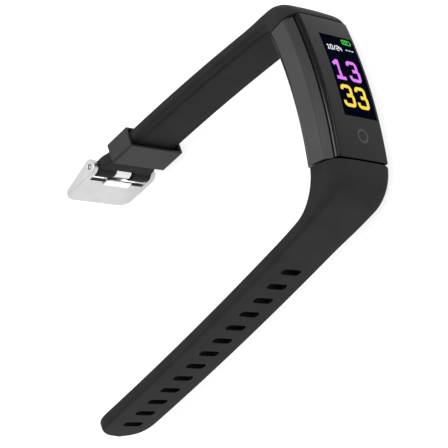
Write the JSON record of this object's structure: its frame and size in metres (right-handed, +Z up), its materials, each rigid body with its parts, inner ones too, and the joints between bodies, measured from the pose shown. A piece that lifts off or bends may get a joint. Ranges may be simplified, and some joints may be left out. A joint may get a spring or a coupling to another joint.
{
  "type": "fitness tracker band",
  "caption": "Slim arched tracker capsule with a lit touch display, held between two silicone straps that pull off, with a pin buckle, spring bar and sliding keeper.",
  "frame": {"origin": "under the middle of the bounding box of the opened band, on the plane it lies on, with the band on its long side edge", "axes": "+X along the capsule towards the buckle strap, -Y the way the display faces, +Y the way both straps run back round the wrist, +Z up across the band's width"},
  "size_m": [0.073, 0.107, 0.0214],
  "materials": {
    "housing_plastic": "fine satin, nearly black",
    "lens_gloss": "clear hard-coated cover with a gloss black mask behind it",
    "gasket_foam": "matt black foam",
    "display_glass": "black display glass, lit figures",
    "display_tray": "white light-spreading tray",
    "flex_film": "amber film",
    "touch_copper": "bare copper",
    "board_green": "green solder mask",
    "chip_black": "moulded chip epoxy",
    "battery_foil": "satin pouch foil",
    "battery_foam": "black foam",
    "sensor_board": "green solder mask",
    "led_green": "clear green emitter",
    "photodiode_silicon": "dark violet silicon",
    "baffle_black": "matt black",
    "sensor_window": "dark gloss window",
    "cover_plastic": "fine satin, nearly black",
    "tongue_plastic": "white moulded plastic",
    "anchor_plastic": "black moulded plastic",
    "contact_gold": "gold plated, polished",
    "motor_steel": "drawn can",
    "motor_weight": "sintered heavy alloy",
    "strap_silicone": "matt soft-touch silicone, nearly black",
    "keeper_silicone": "matt soft-touch silicone, nearly black",
    "bar_steel": "drawn stainless steel",
    "spring_steel": "spring wire",
    "buckle_steel": "polished stainless steel"
  },
  "bodies": {
    "capsule": {"main_housing": "housing_plastic", "front_lens": "lens_gloss", "lens_gasket": "gasket_foam", "display_panel": "display_glass", "display_carrier": "display_tray", "display_flex": "flex_film", "touch_pad": "touch_copper", "main_board": "board_green", "processor_chip": "chip_black", "motion_sensor_chip": "chip_black", "charging_chip": "chip_black", "battery_pad": "battery_foam", "battery_cell": "battery_foil", "heart_rate_board": "sensor_board", "led_left": "led_green", "led_right": "led_green", "photodiode": "photodiode_silicon", "light_baffle": "baffle_black", "sensor_window": "sensor_window", "rear_cover": "cover_plastic", "plug_tongue": "tongue_plastic", "plug_contact_1": "contact_gold", "plug_contact_2": "contact_gold", "plug_contact_3": "contact_gold", "plug_contact_4": "contact_gold", "anchor_tongue": "anchor_plastic", "motor_can": "motor_steel"},
    "motor_rotor": {"motor_shaft": "motor_steel", "motor_weight": "motor_weight"},
    "hole_strap": {"hole_strap": "strap_silicone"},
    "buckle_strap": {"buckle_strap": "strap_silicone", "spring_bar_tube": "bar_steel", "spring_bar_spring": "spring_steel"},
    "keeper": {"keeper_loop": "keeper_silicone"},
    "buckle": {"buckle_frame": "buckle_steel"},
    "tongue": {"buckle_tongue": "buckle_steel"},
    "upper_pin": {"pin_upper": "bar_steel"},
    "lower_pin": {"pin_lower": "bar_steel"}
  },
  "joints": [
    {"name": "motor_spin", "type": "hinge", "parent": "capsule", "child": "motor_rotor", "pos_m": [-0.00158, -0.04578, 0.0097], "axis": [0, 0, 1], "continuous": true},
    {"name": "hole_strap_pull", "type": "slide", "parent": "capsule", "child": "hole_strap", "axis": [-0.9871, 0.1599, 0], "range_m": [0, 0.012]},
    {"name": "buckle_strap_pull", "type": "slide", "parent": "capsule", "child": "buckle_strap", "axis": [0.9871, 0.1599, 0], "range_m": [0, 0.006]},
    {"name": "keeper_slide", "type": "slide", "parent": "buckle_strap", "child": "keeper", "axis": [0.0996, -0.995, 0], "range_m": [0, 0.025]},
    {"name": "buckle_swing", "type": "hinge", "parent": "buckle_strap", "child": "buckle", "pos_m": [0.03049, 0.02902, 0.0107], "axis": [0, 0, -1], "range_deg": [-60, 70]},
    {"name": "tongue_lift", "type": "hinge", "parent": "buckle", "child": "tongue", "pos_m": [0.03049, 0.02902, 0.0107], "axis": [0, 0, -1], "range_deg": [0, 55]},
    {"name": "upper_pin_press", "type": "slide", "parent": "buckle_strap", "child": "upper_pin", "axis": [0, 0, -1], "range_m": [0, 0.0016], "stiffness_N_per_m": 400},
    {"name": "lower_pin_press", "type": "slide", "parent": "buckle_strap", "child": "lower_pin", "axis": [0, 0, 1], "range_m": [0, 0.0016], "stiffness_N_per_m": 400}
  ]
}
